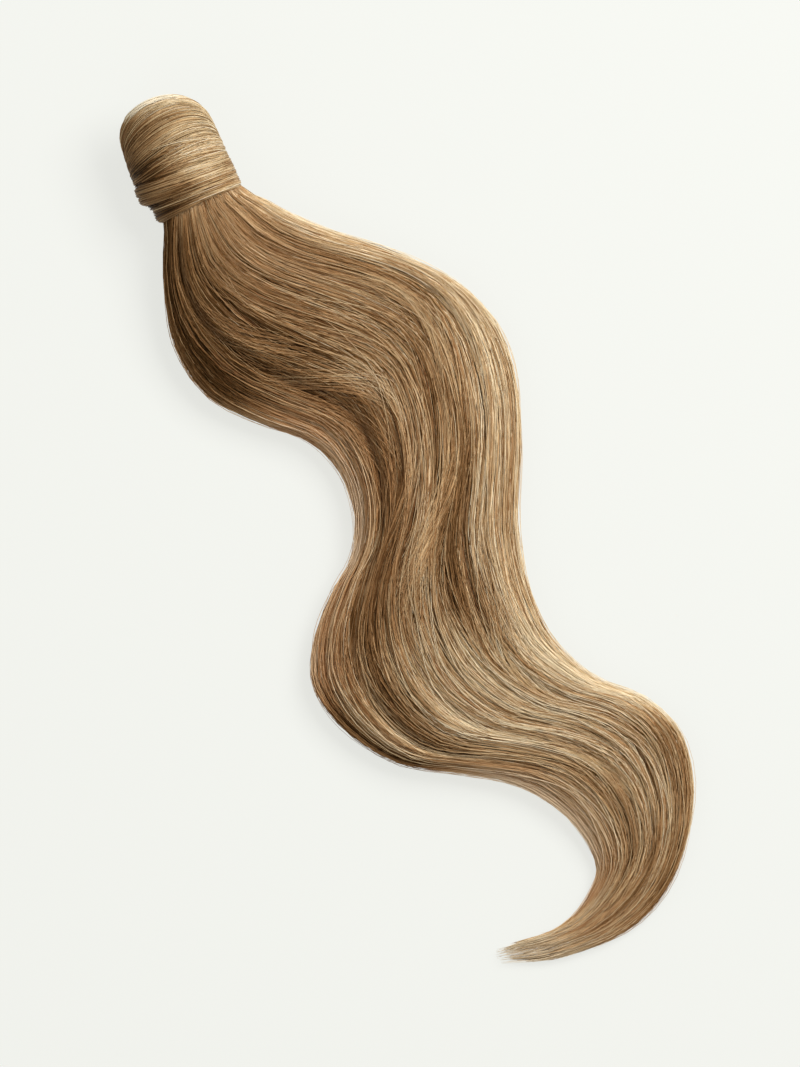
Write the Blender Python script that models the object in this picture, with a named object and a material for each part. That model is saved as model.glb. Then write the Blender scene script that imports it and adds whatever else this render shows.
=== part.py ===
"""Ponytail hairpiece that lies on a flat surface: a wavy tail of hair that leaves a short hollow winding.

Units are millimetres in the tables and metres in the model. +Z is up, +Y runs along the winding towards
the wearer's head, and the tail runs towards -Y. The origin is the middle of the footprint, on the surface
that the piece lies on. Every place in the tables is measured from the seam point, which is the middle of
the line where the tail leaves the winding.
"""
import math
from collections import namedtuple

import bmesh
import bpy
from mathutils import Vector

MM = 0.001
GAP = 0.35
SMOOTH_DEGREES = 50

# The footprint's middle, from the seam point.
FOOTPRINT_X = 27.95
FOOTPRINT_Y = -164.74

# The tail as sections across it, from the winding to the tip. x and y are the section's middle, across is
# the heading of its width in degrees, base, waist and crown are the heights of its underside, of its widest
# line and of its top, and the two sways carry the locks sideways on each half, as a share of half the width.
Section = namedtuple("Section", "x y across width base waist crown sway_left sway_right")
SECTIONS = (
    Section(-1.7, -3.7, 0, 34.8, 4.2, 20.0, 35.8, 0.05, -0.05),
    Section(0.6, -11.4, 1, 49, 3.0, 18.0, 35.5, -0.10, -0.05),
    Section(0.9, -27.8, 8, 68, 1.0, 14.0, 33.5, -0.15, 0.05),
    Section(4.5, -46.8, 13, 88, 0, 11.5, 32.0, 0.00, 0.20),
    Section(14.2, -66.6, 18, 102, 0, 10.0, 30.5, 0.12, 0.35),
    Section(29.9, -85.0, 20, 104, 0, 9.5, 29.5, 0.15, 0.40),
    Section(45.5, -102.5, 22, 99, 0, 9.0, 29.0, 0.12, 0.30),
    Section(52.6, -123.1, 21, 99, 0, 9.0, 28.5, 0.02, 0.10),
    Section(50.6, -145.9, 18, 98, 0, 9.0, 28.0, -0.08, -0.02),
    Section(41.1, -167.6, 11, 94, 0, 8.5, 27.5, -0.10, -0.08),
    Section(27.3, -186.0, 1, 93, 0, 8.5, 27.0, -0.06, -0.05),
    Section(16.2, -203.2, -1, 102, 0, 8.5, 26.5, -0.02, 0.05),
    Section(10.0, -222.1, -1, 107, 0, 8.0, 26.0, 0.00, 0.12),
    Section(12.3, -245.1, -1, 103, 0, 8.0, 25.0, -0.08, 0.18),
    Section(25.3, -268.9, -1, 98, 0, 7.5, 24.0, -0.18, 0.32),
    Section(45.7, -285.6, -2, 91, 0, 7.0, 22.5, -0.05, 0.34),
    Section(61.1, -304.3, -6, 77, 0, 6.5, 20.5, 0.20, 0.22),
    Section(66.1, -327.2, -9, 59, 0, 6.0, 18.0, 0.28, 0.12),
    Section(61.8, -349.1, -9, 43, 0, 5.0, 15.0, 0.20, 0.10),
    Section(48.3, -363.8, -22, 35, 0, 4.0, 12.0, 0.05, 0.05),
    Section(29.8, -372.3, -31, 29, 0, 3.2, 9.5, -0.10, -0.10),
    Section(7.3, -372.4, -50, 19.5, 0, 2.4, 7.0, -0.15, -0.15),
    Section(-13.6, -367.3, -97, 7.5, 0, 1.4, 4.0, 0.00, 0.00),
)
STEPS_PER_SECTION = 2
# The top of a section is a little squarer than an oval, and this share of its underside lies flat.
TOP_ROUNDNESS = 2.3
FLAT_SHARE = 0.62
UNDER_POINTS = 13

# The furrows between the tail's locks, from its left edge to its right one. place is the share of half the
# width, depth is in the stretch from section start to section end, and everywhere else it is SHALLOW.
Furrow = namedtuple("Furrow", "place depth start end")
FURROWS = (
    Furrow(-0.86, 1.4, 4, 16),
    Furrow(-0.62, 4.2, 1, 15),
    Furrow(-0.40, 1.8, 5, 12),
    Furrow(-0.18, 1.8, 12, 19),
    Furrow(0.05, 1.6, 14, 20),
    Furrow(0.25, 1.5, 16, 21),
    Furrow(0.45, 3.0, 9, 15),
    Furrow(0.60, 2.6, 5, 9),
    Furrow(0.80, 1.6, 3, 13),
)
SHALLOW = 0.8
FURROW_FADE = 1.5
# Where the tail's top rises less than this above its widest line, its furrows are shallower in proportion.
FULL_SWELL = 12.0
LOCK_POINTS = (0.22, 0.5, 0.78)
EDGE_LOCK_POINTS = (0.05, 0.2, 0.5)
# How far each lock falls short of the tip in millimetres, left to right.
TIP_TRIMS = (5.0, 1.0, 4.0, 0.0, 6.0, 2.5, 0.5, 5.5, 2.0, 6.5)

# The winding is an oval tube along Y, its middle at this height above the surface. Each oval is its middle's
# x, its half width and its half height.
WINDING_HEIGHT = 20.0
AROUND = 40
Oval = namedtuple("Oval", "x wide tall")
HOLLOW = Oval(-3.2, 14.6, 13.2)
UNDER_BAND = Oval(-3.2, 19.0, 17.1)
LOCK = Oval(-3.2, 22.2, 20.0)
BAND = Oval(-3.5, 23.2, 20.0)
SHOULDER = Oval(-1.7, 17.4, 15.8)
END = Oval(-1.7, 21.0, 19.4)

# One ring of the winding: y on the tube's middle line, the oval, and the tilt of the ring's plane as y gained
# per millimetre up and per millimetre to the right.
Ring = namedtuple("Ring", "y oval lean twist")
MOUTH_Y = 38.7
MOUTH_LEAN = 0.75
MOUTH_TWIST = -0.068
RIM_DEPTH = 6.0
RIM_INSET = 4.0
RIM_DEGREES = (25, 50, 75, 90)
INNER_RIM = 1.3
INNER_RIM_DEGREES = (90, 45, 0)
BAND_TOP_Y = 14.0
BAND_TOP_TWIST = -0.09
SEAM_Y = 3.0
SEAM_TWIST = -0.12
END_BOTTOM_Y = -3.4
BAND_EDGE = 1.8
TURNS = 4
TURN_DEPTH = 0.6
TURN_STEPS = 3

# The head of the tail is a shoulder inside the last band and a plug that closes the hollow.
PLUG_TOP_Y = 9.0
PLUG_CLEAR = 0.6

# The comb lies against the top of the hollow, its teeth away from the mouth.
COMB_TEETH = 9
COMB_THICK = 1.4
COMB_CLEAR = 0.5
COMB_HALF_ANGLE = 46.0
COMB_Y = 40.0
COMB_DEPTH = 4.0
TOOTH_LENGTH = 18.0
TOOTH_TIP_SHARE = 0.45


def grown(oval, by):
    """An oval with both its half sizes larger by the same amount."""
    return Oval(oval.x, oval.wide + by, oval.tall + by)


def place(x, y, z):
    """A point given from the seam point, in metres from the origin."""
    return Vector(((x - FOOTPRINT_X) * MM, (y - FOOTPRINT_Y) * MM, z * MM))


def material(name, colour, roughness, metallic=0.0):
    """A plain material. Its colour is linear."""
    made = bpy.data.materials.new(name)
    made.use_nodes = True
    shader = made.node_tree.nodes["Principled BSDF"]
    shader.inputs["Base Color"].default_value = (*colour, 1.0)
    shader.inputs["Roughness"].default_value = roughness
    shader.inputs["Metallic"].default_value = metallic
    return made


def finish(name, bm, finish_material):
    """Turn a mesh under construction into an object that is shaded smooth."""
    bmesh.ops.recalc_face_normals(bm, faces=bm.faces[:])
    mesh = bpy.data.meshes.new(name)
    bm.to_mesh(mesh)
    bm.free()
    mesh.materials.append(finish_material)
    mesh.shade_smooth()
    mesh.set_sharp_from_angle(angle=math.radians(SMOOTH_DEGREES))
    made = bpy.data.objects.new(name, mesh)
    bpy.context.scene.collection.objects.link(made)
    return made


def draw_through(rings):
    """Extrude a closed loop through a row of rings. Gives the mesh, its first edges and its last ones."""
    bm = bmesh.new()
    slot = bm.verts.layers.int.new("slot")
    verts = bmesh.ops.create_circle(bm, segments=len(rings[0]), radius=1.0)["verts"]
    for number, vert in enumerate(verts):
        vert[slot] = number
        vert.co = rings[0][number]
    first = bm.edges[:]
    edges = first
    for ring in rings[1:]:
        made = bmesh.ops.extrude_edge_only(bm, edges=edges)["geom"]
        for vert in made:
            if isinstance(vert, bmesh.types.BMVert):
                vert.co = ring[vert[slot]]
        edges = [edge for edge in made if isinstance(edge, bmesh.types.BMEdge)]
    return bm, first, edges


def between(low, before, after, high, share):
    """The smooth curve through four evenly spaced values, between the middle two."""
    slope = after - low
    bend = 2 * low - 5 * before + 4 * after - high
    twist = 3 * (before - after) + high - low
    return 0.5 * (2 * before + share * (slope + share * (bend + share * twist)))


def section_at(travel):
    """The tail's section at a travel of 0 at the winding to len(SECTIONS) - 1 at the tip."""
    index = min(int(travel), len(SECTIONS) - 2)
    share = travel - index
    before = SECTIONS[index]
    after = SECTIONS[index + 1]
    low = SECTIONS[index - 1] if index > 0 else [2 * a - b for a, b in zip(before, after)]
    last = index + 2 < len(SECTIONS)
    high = SECTIONS[index + 2] if last else [2 * b - a for a, b in zip(before, after)]
    section = Section(*[between(*four, share) for four in zip(low, before, after, high)])
    return section._replace(base=max(0.0, section.base))


def sideways(section, lane):
    """Where a lane of hair, -1 to 1, runs across a section, as a share of half the width."""
    sway = (section.sway_left * (1 - lane) + section.sway_right * (1 + lane)) / 2
    return lane + (1 - lane * lane) * sway


def furrow_depth(furrow, travel):
    """A furrow's depth at a travel along the tail, in millimetres."""
    inside = min(travel - furrow.start, furrow.end - travel) / FURROW_FADE
    share = max(0.0, min(1.0, 0.5 + inside))
    return SHALLOW + (furrow.depth - SHALLOW) * share


def top_lanes():
    """The lanes of the points over the top, left to right: (lane, furrow or None, lock number)."""
    edges = [-1.0] + [furrow.place for furrow in FURROWS] + [1.0]
    lanes = []
    for number, (left, right) in enumerate(zip(edges, edges[1:])):
        shares = LOCK_POINTS
        if number == 0:
            shares = EDGE_LOCK_POINTS
        if number == len(edges) - 2:
            shares = [1 - share for share in reversed(EDGE_LOCK_POINTS)]
        lanes.append((left, FURROWS[number - 1] if number else None, number))
        lanes += [(left + (right - left) * share, None, number) for share in shares]
    lanes.append((1.0, None, len(FURROWS)))
    return lanes


def under_lanes():
    """The lanes of the points under the tail, right to left."""
    return [math.cos(math.pi * step / (UNDER_POINTS + 1)) for step in range(1, UNDER_POINTS + 1)]


def contour(travel):
    """The closed contour of the tail at a travel: over the top from left to right, then back underneath."""
    section = section_at(travel)
    heading = math.radians(section.across)
    swell = section.crown - section.waist
    thin = min(1.0, swell / FULL_SWELL)
    points = []
    for lane, furrow, _ in top_lanes():
        aside = sideways(section, lane)
        rise = (1 - abs(aside) ** TOP_ROUNDNESS) ** (1 / 2)
        height = section.waist + swell * rise
        if furrow:
            height -= furrow_depth(furrow, travel) * thin * min(1.0, 2 * rise)
        points.append((aside, height))
    for lane in under_lanes():
        lift = max(0.0, (abs(lane) - FLAT_SHARE) / (1 - FLAT_SHARE)) ** 2
        points.append((lane, section.base + (section.waist - section.base) * lift))
    half = section.width / 2
    return [
        (section.x + aside * half * math.cos(heading), section.y + aside * half * math.sin(heading), height)
        for aside, height in points
    ]


def head_ring(y, oval, twist):
    """A ring of the tail's head, with its points at the angles that the first contour has them."""
    first = SECTIONS[0]
    ring = []
    for x, _, z in contour(0.0):
        angle = math.atan2((z - first.waist) / oval.tall * oval.wide, x - first.x)
        aside = oval.wide * math.cos(angle)
        ring.append((oval.x + aside, y + twist * aside, WINDING_HEIGHT + oval.tall * math.sin(angle)))
    return ring


def tip_contour():
    """The last contour, with each lock cut back by its own trim."""
    last = len(SECTIONS) - 1
    end = contour(float(last))
    inner = contour(last - 0.5)
    locks = [number for _, _, number in top_lanes()]
    locks += [round((1 + lane) / 2 * (len(TIP_TRIMS) - 1)) for lane in under_lanes()]
    trimmed = []
    for outer_point, inner_point, lock in zip(end, inner, locks):
        outer_vector = Vector(outer_point)
        back = Vector(inner_point) - outer_vector
        share = TIP_TRIMS[lock] / back.length
        trimmed.append(tuple(outer_vector + back * share))
    return trimmed


def build_tail(hair):
    """The loose hair: fused locks from the plug in the hollow to the ragged tip."""
    plug = grown(HOLLOW, -PLUG_CLEAR)
    rings = [
        head_ring(PLUG_TOP_Y, plug, 0.0),
        head_ring(SEAM_Y - GAP, plug, SEAM_TWIST),
        head_ring(SEAM_Y - 2 * GAP, SHOULDER, SEAM_TWIST),
        head_ring(SECTIONS[0].y, SHOULDER, 0.0),
    ]
    steps = (len(SECTIONS) - 1) * STEPS_PER_SECTION
    rings += [contour(step / STEPS_PER_SECTION) for step in range(1, steps)]
    rings.append(tip_contour())
    bm, first, last = draw_through([[place(*point) for point in ring] for ring in rings])
    for edges in (first, last):
        caps = bmesh.ops.contextual_create(bm, geom=edges)["faces"]
        bmesh.ops.poke(bm, faces=caps)
    return finish("tail_hair", bm, hair)


def winding_ring(ring):
    """The points of one ring of the winding, all on one tilted plane."""
    points = []
    for step in range(AROUND):
        angle = 2 * math.pi * step / AROUND
        aside = ring.oval.wide * math.cos(angle)
        up = ring.oval.tall * math.sin(angle)
        y = ring.y + ring.lean * up + ring.twist * aside
        points.append(place(ring.oval.x + aside, y, WINDING_HEIGHT + up))
    return points


def winding(name, rings, hair):
    """A closed band of wound hair, drawn through its rings and joined to its own start."""
    bm, first, last = draw_through([winding_ring(ring) for ring in rings])
    bmesh.ops.bridge_loops(bm, edges=first + last)
    return finish(name, bm, hair)


def build_wrap_lock(hair):
    """The main winding: a thick tube with shallow turns, a slanted rounded mouth and an open hollow."""
    rings = [
        Ring(SEAM_Y + GAP, UNDER_BAND, 0.0, SEAM_TWIST),
        Ring(BAND_TOP_Y + GAP, UNDER_BAND, 0.0, BAND_TOP_TWIST),
    ]
    start_y = BAND_TOP_Y + 2 * GAP
    end_y = MOUTH_Y - RIM_DEPTH
    steps = TURNS * TURN_STEPS
    for step in range(steps + 1):
        share = step / steps
        furrow = TURN_DEPTH if step % TURN_STEPS == 0 and step < steps else 0.0
        twist = BAND_TOP_TWIST + (MOUTH_TWIST - BAND_TOP_TWIST) * share
        rings.append(Ring(start_y + (end_y - start_y) * share, grown(LOCK, -furrow), MOUTH_LEAN * share, twist))
    for degrees in RIM_DEGREES:
        turned = math.radians(degrees)
        oval = grown(LOCK, -RIM_INSET * (1 - math.cos(turned)))
        rings.append(Ring(MOUTH_Y - RIM_DEPTH * (1 - math.sin(turned)), oval, MOUTH_LEAN, MOUTH_TWIST))
    for degrees in INNER_RIM_DEGREES:
        turned = math.radians(degrees)
        oval = grown(HOLLOW, INNER_RIM * (1 - math.cos(turned)))
        rings.append(Ring(MOUTH_Y - INNER_RIM * (1 - math.sin(turned)), oval, MOUTH_LEAN, MOUTH_TWIST))
    rings.append(Ring(PLUG_TOP_Y + GAP, HOLLOW, 0.0, 0.0))
    rings.append(Ring(SEAM_Y + GAP, HOLLOW, 0.0, SEAM_TWIST))
    return winding("wrap_lock", rings, hair)


def band_rings(bottom, top, inner, outer):
    """The rings of a flattened band between two edges, each edge a y and a twist, and two ovals."""
    middle = ((bottom[0] + top[0]) / 2, (bottom[1] + top[1]) / 2)
    narrow = grown(outer, -BAND_EDGE)
    shoulder = grown(outer, -BAND_EDGE / 3)
    return [
        Ring(bottom[0], inner, 0.0, bottom[1]),
        Ring(bottom[0], narrow, 0.0, bottom[1]),
        Ring(bottom[0] + BAND_EDGE / 2, shoulder, 0.0, bottom[1]),
        Ring(middle[0], outer, 0.0, middle[1]),
        Ring(top[0] - BAND_EDGE / 2, shoulder, 0.0, top[1]),
        Ring(top[0], narrow, 0.0, top[1]),
        Ring(top[0], inner, 0.0, top[1]),
    ]


def build_wrap_band(hair):
    """The middle band, wound over the lower end of the main winding."""
    bottom = (SEAM_Y + GAP, SEAM_TWIST)
    top = (BAND_TOP_Y, BAND_TOP_TWIST)
    return winding("wrap_band", band_rings(bottom, top, grown(UNDER_BAND, GAP), BAND), hair)


def build_wrap_end(hair):
    """The last band, wound straight on to the head of the tail."""
    bottom = (END_BOTTOM_Y, 0.0)
    top = (SEAM_Y - GAP, SEAM_TWIST)
    return winding("wrap_end", band_rings(bottom, top, grown(SHOULDER, GAP), END), hair)


def build_comb(plastic):
    """A curved comb: an arc for its spine, with every other face of its far side drawn out as a tooth."""
    outer = grown(HOLLOW, -COMB_CLEAR)
    inner = grown(outer, -COMB_THICK)
    corners = ((outer, 0.0), (outer, COMB_DEPTH), (inner, COMB_DEPTH), (inner, 0.0))
    faces = 2 * COMB_TEETH + 1
    rings = []
    for step in range(faces + 1):
        angle = math.radians(90 + COMB_HALF_ANGLE * (1 - 2 * step / faces))
        rings.append([
            place(
                oval.x + oval.wide * math.cos(angle),
                COMB_Y + back,
                WINDING_HEIGHT + oval.tall * math.sin(angle),
            )
            for oval, back in corners
        ])
    bm, first, last = draw_through(rings)
    for edges in (first, last):
        bmesh.ops.contextual_create(bm, geom=edges)
    spine_y = place(0, COMB_Y, 0).y
    near = [face for face in bm.faces if abs(face.calc_center_median().y - spine_y) < MM / 10]
    near.sort(key=lambda face: face.calc_center_median().x)
    teeth = bmesh.ops.extrude_discrete_faces(bm, faces=near[1::2])["faces"]
    for tooth in teeth:
        middle = tooth.calc_center_median()
        for vert in tooth.verts:
            vert.co = middle + (vert.co - middle) * TOOTH_TIP_SHARE
            vert.co.y -= TOOTH_LENGTH * MM
    return finish("comb", bm, plastic)


def main():
    """Clear the scene and build every piece."""
    for old in list(bpy.data.objects):
        bpy.data.objects.remove(old, do_unlink=True)
    tail_hair = material("tail_hair_fibre", (0.29, 0.17, 0.08), 0.45)
    wrap_hair = material("wrap_hair_fibre", (0.38, 0.25, 0.12), 0.4)
    plastic = material("comb_plastic", (0.16, 0.09, 0.045), 0.35)
    build_tail(tail_hair)
    build_wrap_lock(wrap_hair)
    build_wrap_band(wrap_hair)
    build_wrap_end(wrap_hair)
    build_comb(plastic)


main()
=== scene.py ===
"""Dress a ponytail hairpiece that lies on a pale table: its wavy tail, its wound head and its comb."""
import logging
import math
from dataclasses import astuple, dataclass, field
from enum import Enum
from typing import ClassVar

import bmesh
import bpy
import numpy as np
from mathutils import Euler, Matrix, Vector


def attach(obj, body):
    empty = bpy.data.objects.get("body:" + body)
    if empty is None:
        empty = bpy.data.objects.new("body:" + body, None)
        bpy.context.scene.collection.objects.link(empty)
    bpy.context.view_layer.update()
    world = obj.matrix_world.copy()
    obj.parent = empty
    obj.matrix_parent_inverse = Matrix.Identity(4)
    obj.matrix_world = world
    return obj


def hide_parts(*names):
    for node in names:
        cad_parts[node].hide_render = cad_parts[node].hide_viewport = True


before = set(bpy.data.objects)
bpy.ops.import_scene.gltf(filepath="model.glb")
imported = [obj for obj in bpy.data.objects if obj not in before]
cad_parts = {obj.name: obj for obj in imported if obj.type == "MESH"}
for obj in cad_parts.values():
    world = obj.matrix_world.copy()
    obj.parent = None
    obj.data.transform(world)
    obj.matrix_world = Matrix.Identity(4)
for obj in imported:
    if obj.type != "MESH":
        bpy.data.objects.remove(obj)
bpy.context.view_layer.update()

Array = np.ndarray
Pair = tuple[float, float]
Oval = tuple[float, float, float]
LOG = logging.getLogger("hairpiece")

MM = 0.001
BODY = "root"

# The footprint's middle, from the seam point in the middle of the line where the tail leaves the winding.
FOOTPRINT = (27.95, -164.74, 0.0)

# The height of the middle of the winding, and how far strands stay off the table.
WINDING_HEIGHT = 20.0
CLEARANCE = 0.05


class Edge(Enum):
    """The two long edges of the tail, each with its angle round a section."""

    LEFT = 0.0
    RIGHT = math.pi


def linear(colour: str) -> tuple[float, float, float, float]:
    """Turn a colour into the numbers that a shader takes.

    Args:
        colour: An sRGB hex value, such as "#8b6b47".

    Returns:
        Linear red, green, blue and an alpha of 1.
    """
    shares = [int(colour[at:at + 2], 16) / 255 for at in (1, 3, 5)]
    bright = [share / 12.92 if share <= 0.04045 else ((share + 0.055) / 1.055) ** 2.4 for share in shares]
    return (*bright, 1.0)


def node(tree: bpy.types.NodeTree, kind: str, inputs: dict | None = None, **settings) -> bpy.types.Node:
    """Add a node to a material.

    Args:
        tree: The material's node tree.
        kind: The node's type.
        inputs: A value or another node's output for each named or numbered input.
        settings: The node's own settings.

    Returns:
        The new node.
    """
    made = tree.nodes.new(kind)
    for name, value in settings.items():
        setattr(made, name, value)
    for name, value in (inputs or {}).items():
        if isinstance(value, bpy.types.NodeSocket):
            tree.links.new(value, made.inputs[name])
        else:
            made.inputs[name].default_value = value
    return made


def material(name: str, values: dict) -> tuple[bpy.types.Material, bpy.types.NodeTree, bpy.types.Node]:
    """Start a material.

    Args:
        name: The material's name.
        values: The value of each named input that is the same all over the surface.

    Returns:
        The material, its node tree and its shader.
    """
    made = bpy.data.materials.new(name)
    made.use_nodes = True
    shader = made.node_tree.nodes["Principled BSDF"]
    for key, value in values.items():
        shader.inputs[key].default_value = value
    return made, made.node_tree, shader


def smooth(share: Array) -> Array:
    """Ease a share from 0 to 1, flat at both ends."""
    held = np.clip(share, 0.0, 1.0)
    return held * held * (3 - 2 * held)


def unit(vectors: Array) -> Array:
    """Scale vectors to a length of 1."""
    return vectors / np.maximum(np.linalg.norm(vectors, axis=-1, keepdims=True), 1e-9)


def placed(points: Array) -> Array:
    """Turn millimetres from the seam point into metres from the origin."""
    return (points - np.array(FOOTPRINT)) * MM


@dataclass(frozen=True)
class HairFinish:
    """Hair fibre, coloured in blond and brown tones and brushed: soft highlights that lie across the strands.

    Its streaks are drawn coarser than single hairs, so that they show. map_mm is the real size that a UV map
    covers and streak_mm the size of a streak on it. The tones go from the darkest hair to the palest in equal
    steps.
    """

    name: str
    map_mm: Pair
    streak_mm: Pair
    streak: float = 0.1
    roughness: float = 0.42
    relief_mm: float = 0.0
    tones: tuple[str, ...] = ("#2a190a", "#684725", "#a88056", "#d0b388", "#efe0c0")
    copper: str = "#b97c50"
    gloss: str = "#e4c48f"
    sheen: float = 0.22
    ior: float = 1.38

    def make(self) -> bpy.types.Material:
        """Build the material.

        Returns:
            A material that reads a piece's tone and copper attributes and its own UV map.
        """
        made, tree, shader = material(self.name, {
            "Roughness": self.roughness, "IOR": self.ior,
            "Specular IOR Level": self.sheen, "Specular Tint": linear(self.gloss),
        })
        tone = node(tree, "ShaderNodeAttribute", attribute_name="tone")
        copper = node(tree, "ShaderNodeAttribute", attribute_name="copper")
        where = node(tree, "ShaderNodeUVMap", uv_map="OFBake")
        scale = (self.map_mm[0] / self.streak_mm[0], self.map_mm[1] / self.streak_mm[1], 1.0)
        drawn = node(tree, "ShaderNodeMapping", {"Vector": where.outputs["UV"], "Scale": scale})
        grain = node(tree, "ShaderNodeTexNoise", {
            "Vector": drawn.outputs["Vector"], "Scale": 1.0, "Detail": 3.0, "Roughness": 0.65,
        }, noise_dimensions="2D")
        swing = node(tree, "ShaderNodeMapRange", {
            "Value": grain.outputs["Fac"], "From Min": 0.25, "From Max": 0.75,
            "To Min": -self.streak, "To Max": self.streak,
        })
        total = node(tree, "ShaderNodeMath", {
            0: tone.outputs["Fac"], 1: swing.outputs["Result"],
        }, operation="ADD")
        ramp = node(tree, "ShaderNodeValToRGB", {"Fac": total.outputs["Value"]})
        stops = ramp.color_ramp.elements
        while len(stops) < len(self.tones):
            stops.new(0.5)
        for number, (stop, colour) in enumerate(zip(stops, self.tones)):
            stop.position = number / (len(self.tones) - 1)
            stop.color = linear(colour)
        mixed = node(tree, "ShaderNodeMix", {
            "Factor": copper.outputs["Fac"], 6: ramp.outputs["Color"], 7: linear(self.copper),
        }, data_type="RGBA", blend_type="MIX")
        tree.links.new(mixed.outputs[2], shader.inputs["Base Color"])
        if self.relief_mm:
            bump = node(tree, "ShaderNodeBump", {
                "Height": grain.outputs["Fac"], "Strength": 1.0, "Distance": self.relief_mm * MM,
            })
            tree.links.new(bump.outputs["Normal"], shader.inputs["Normal"])
        return made


@dataclass(frozen=True)
class PlasticFinish:
    """Injection-moulded acrylic, satin and nearly smooth, brown like the hair that hides it."""

    name: str
    colour: str
    worn: str
    roughness: float = 0.32
    ior: float = 1.49
    flow_mm: float = 3.2
    ripple_mm: float = 0.05

    def make(self) -> bpy.types.Material:
        """Build the material.

        Returns:
            A material that reads object coordinates.
        """
        made, tree, shader = material(self.name, {"Roughness": self.roughness, "IOR": self.ior})
        where = node(tree, "ShaderNodeTexCoord")
        flow = node(tree, "ShaderNodeTexNoise", {
            "Vector": where.outputs["Object"], "Scale": 1 / (self.flow_mm * MM), "Detail": 4.0,
        })
        mixed = node(tree, "ShaderNodeMix", {
            "Factor": flow.outputs["Fac"], 6: linear(self.colour), 7: linear(self.worn),
        }, data_type="RGBA")
        bump = node(tree, "ShaderNodeBump", {
            "Height": flow.outputs["Fac"], "Strength": 0.4, "Distance": self.ripple_mm * MM,
        })
        tree.links.new(mixed.outputs[2], shader.inputs["Base Color"])
        tree.links.new(bump.outputs["Normal"], shader.inputs["Normal"])
        return made


@dataclass
class Strand:
    """One drawn hair or fine bundle of hairs: a tapered thread along a path, in millimetres from the seam."""

    path: Array
    out: Array
    radius: Array
    tone: Array
    copper: Array


@dataclass
class StrandMesh:
    """Many strands joined into one piece: three-sided closed threads, worked out as arrays."""

    name: str
    slot: str
    strands: list[Strand] = field(default_factory=list)
    sides: int = 3

    def rings(self, batch: list[Strand]) -> Array:
        """Work out the points round a batch of strands that have the same number of steps.

        Args:
            batch: The strands.

        Returns:
            Points as strand, step, side and coordinate, in metres.
        """
        path = np.stack([strand.path for strand in batch])
        out = np.stack([strand.out for strand in batch])
        radius = np.stack([strand.radius for strand in batch])[..., None]
        along = unit(np.gradient(path, axis=1))
        out = unit(out - along * (out * along).sum(-1, keepdims=True))
        aside = np.cross(along, out)
        rings = []
        for side in range(self.sides):
            turned = 2 * math.pi * side / self.sides
            rings.append(path + radius * (math.cos(turned) * out + math.sin(turned) * aside))
        return placed(np.stack(rings, axis=2))

    def build(self, finish: bpy.types.Material) -> bpy.types.Object:
        """Join the strands into a mesh with its map and attributes.

        Args:
            finish: The hair's material.

        Returns:
            The new piece, riding on the hairpiece.
        """
        batches: dict[int, list[Strand]] = {}
        for strand in self.strands:
            batches.setdefault(len(strand.path), []).append(strand)
        points, tones, coppers, faces, maps = [], [], [], [], []
        caps, cap_maps = [], []
        first = 0
        row = 0
        rows = len(self.strands)
        turns = np.arange(self.sides)
        for steps, batch in sorted(batches.items()):
            ring = self.rings(batch)
            count = len(batch)
            points.append(ring.reshape(-1, 3))
            tones.append(np.repeat(np.stack([strand.tone for strand in batch]), self.sides))
            coppers.append(np.repeat(np.stack([strand.copper for strand in batch]), self.sides))
            number = first + np.arange(count * steps * self.sides).reshape(count, steps, self.sides)
            here, after = number[:, :-1], number[:, 1:]
            quads = np.stack([here, np.roll(here, -1, 2), np.roll(after, -1, 2), after], axis=-1)
            faces.append(quads.reshape(-1, 4))
            lane = (row + np.arange(count))[:, None, None]
            low = np.broadcast_to((lane + turns / self.sides) / rows, quads.shape[:3])
            high = np.broadcast_to((lane + (turns + 1) / self.sides) / rows, quads.shape[:3])
            start = np.broadcast_to((np.arange(steps - 1) / (steps - 1))[None, :, None], quads.shape[:3])
            end = start + 1 / (steps - 1)
            corners = [(start, low), (start, high), (end, high), (end, low)]
            maps.append(np.stack([np.stack(pair, -1) for pair in corners], axis=-2).reshape(-1, 2))
            caps.append(number[:, 0, ::-1])
            caps.append(number[:, -1])
            for share in (0.0, 1.0):
                flat = np.stack(np.broadcast_arrays(share, (lane[..., 0] + turns / self.sides) / rows), -1)
                cap_maps.append((flat[:, ::-1] if share == 0.0 else flat).reshape(-1, 2))
            first += number.size
            row += count
        quads = np.concatenate(faces)
        ends = np.concatenate(caps)
        mesh = bpy.data.meshes.new(self.name)
        mesh.vertices.add(first)
        mesh.vertices.foreach_set("co", np.concatenate(points).ravel())
        mesh.loops.add(quads.size + ends.size)
        mesh.loops.foreach_set("vertex_index", np.concatenate([quads.ravel(), ends.ravel()]))
        sizes = np.concatenate([np.full(len(quads), 4), np.full(len(ends), self.sides)])
        mesh.polygons.add(len(sizes))
        mesh.polygons.foreach_set("loop_start", np.concatenate([[0], np.cumsum(sizes)[:-1]]))
        mesh.update(calc_edges=True)
        chart = mesh.uv_layers.new(name="OFBake")
        chart.uv.foreach_set("vector", np.concatenate(maps + cap_maps).ravel())
        for name, values in (("tone", tones), ("copper", coppers)):
            layer = mesh.attributes.new(name, "FLOAT", "POINT")
            layer.data.foreach_set("value", np.concatenate(values).astype(np.float32))
        mesh.materials.append(finish)
        mesh.shade_smooth()
        return show(self.name, mesh, self.slot)


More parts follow.
